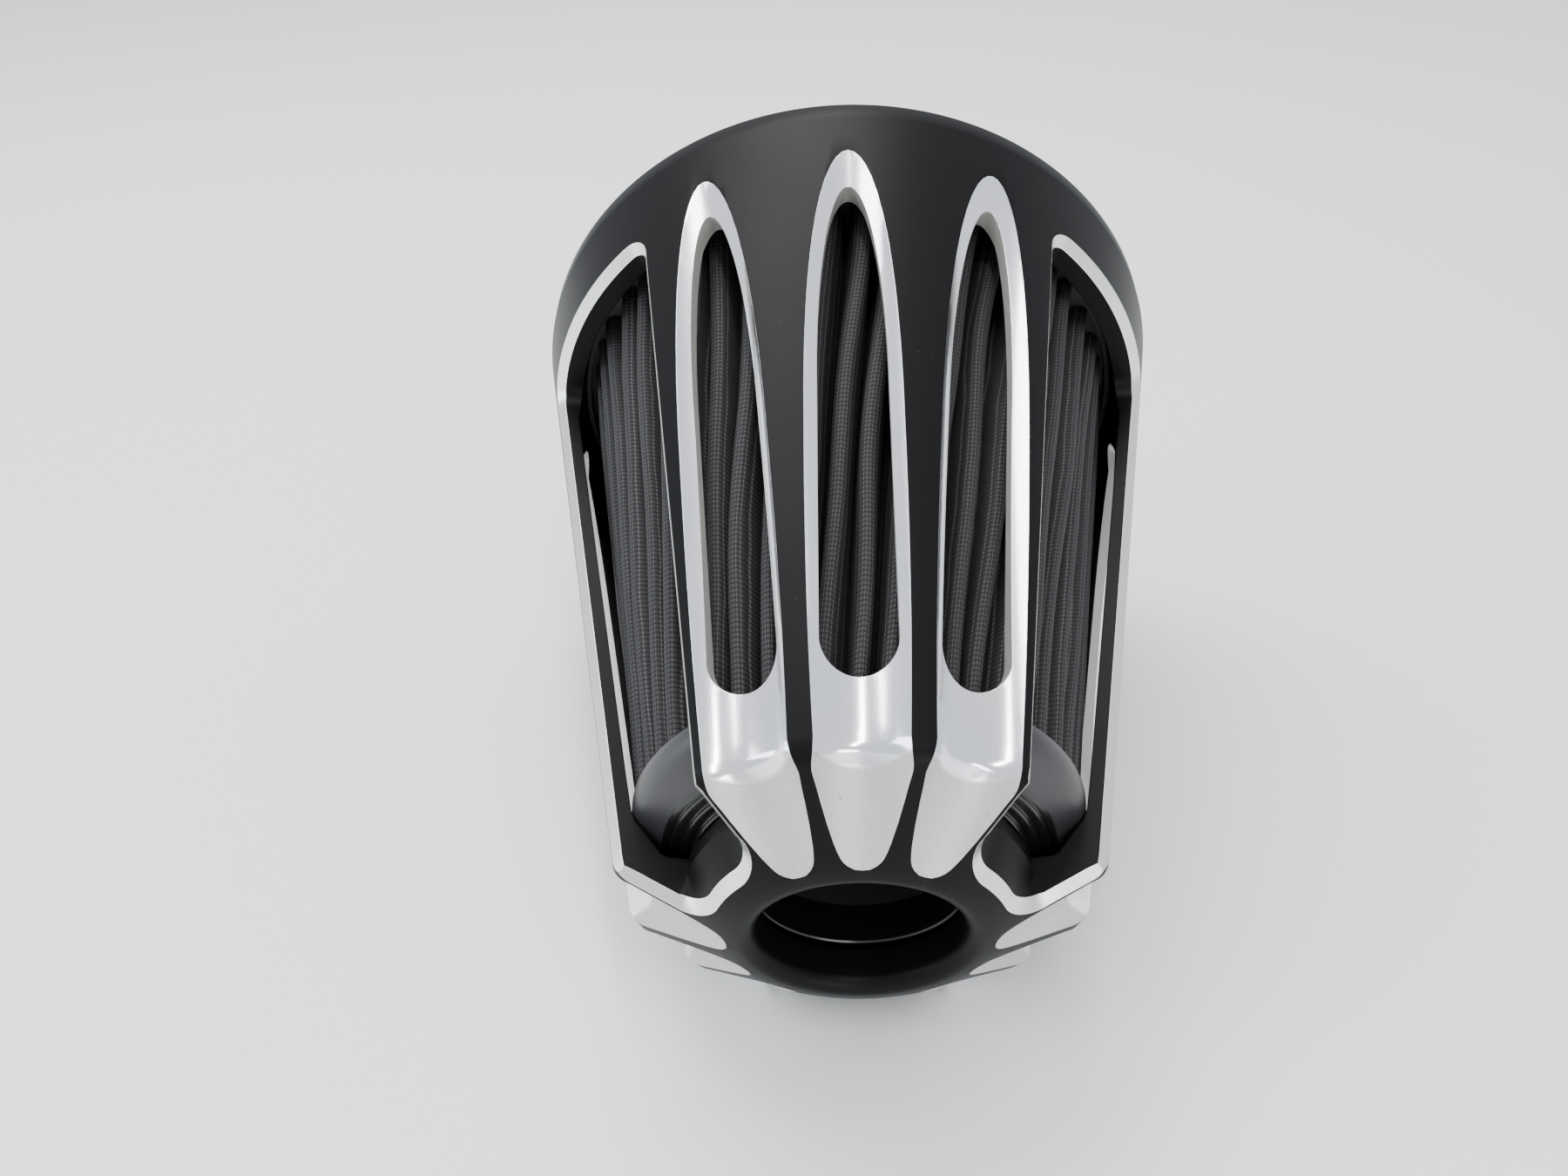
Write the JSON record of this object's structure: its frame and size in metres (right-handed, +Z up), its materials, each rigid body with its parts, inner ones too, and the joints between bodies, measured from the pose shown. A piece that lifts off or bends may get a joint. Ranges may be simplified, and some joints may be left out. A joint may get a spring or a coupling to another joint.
{
  "type": "air filter",
  "caption": "Cone-shaped motorcycle air filter: a fluted, slotted and windowed billet cover over a pleated cone element, closed by a backplate with a throat.",
  "frame": {"origin": "centre of the bounding box at its base, on the floor that the filter lies on", "axes": "+Z up, with the filter lying on its side; nose towards -Y and slightly down, throttle-body side towards +Y; X across"},
  "size_m": [0.152, 0.1806, 0.1496],
  "materials": {
    "black_anodised": "black anodised, with bright machined flutes",
    "bright": "machined",
    "plate": "black anodised",
    "media": "dark pleated cloth",
    "mesh": "woven mesh",
    "moulded": "satin moulded polyurethane",
    "seal": "soft rubber",
    "steel": "stainless",
    "brass": "plain"
  },
  "bodies": {
    "cover": {"cover_shell": "black_anodised", "thread_insert_1": "brass", "thread_insert_2": "brass", "thread_insert_3": "brass"},
    "element": {"outer_pleats": "media", "outer_mesh": "mesh", "front_end_cap": "moulded", "base_end_cap": "moulded", "inner_pleats": "media", "inner_cage": "steel", "inner_tip_cap": "moulded", "nose_seal": "seal", "base_seal": "seal"},
    "plate": {"backplate": "plate", "velocity_ring": "bright", "rim_gasket": "seal", "throttle_seal": "seal", "breather_seal_left": "seal", "breather_seal_right": "seal"},
    "screw_1": {"cover_screw_1": "steel", "cover_washer_1": "steel"},
    "screw_2": {"cover_screw_2": "steel", "cover_washer_2": "steel"},
    "screw_3": {"cover_screw_3": "steel", "cover_washer_3": "steel"}
  },
  "joints": [
    {"name": "element_slide", "type": "slide", "parent": "cover", "child": "element", "axis": [0, 0.9747, 0.2235], "range_m": [0, 0.165]},
    {"name": "plate_slide", "type": "slide", "parent": "element", "child": "plate", "axis": [0, 0.9747, 0.2235], "range_m": [0, 0.06]},
    {"name": "cover_screw_1_turn", "type": "hinge", "parent": "plate", "child": "screw_1", "pos_m": [0.06028, 0.06569, 0.10954], "axis": [0, -0.9747, -0.2235], "continuous": true},
    {"name": "cover_screw_2_turn", "type": "hinge", "parent": "plate", "child": "screw_2", "pos_m": [0, 0.08902, 0.00778], "axis": [0, -0.9747, -0.2235], "continuous": true},
    {"name": "cover_screw_3_turn", "type": "hinge", "parent": "plate", "child": "screw_3", "pos_m": [-0.06028, 0.06569, 0.10954], "axis": [0, -0.9747, -0.2235], "continuous": true}
  ]
}
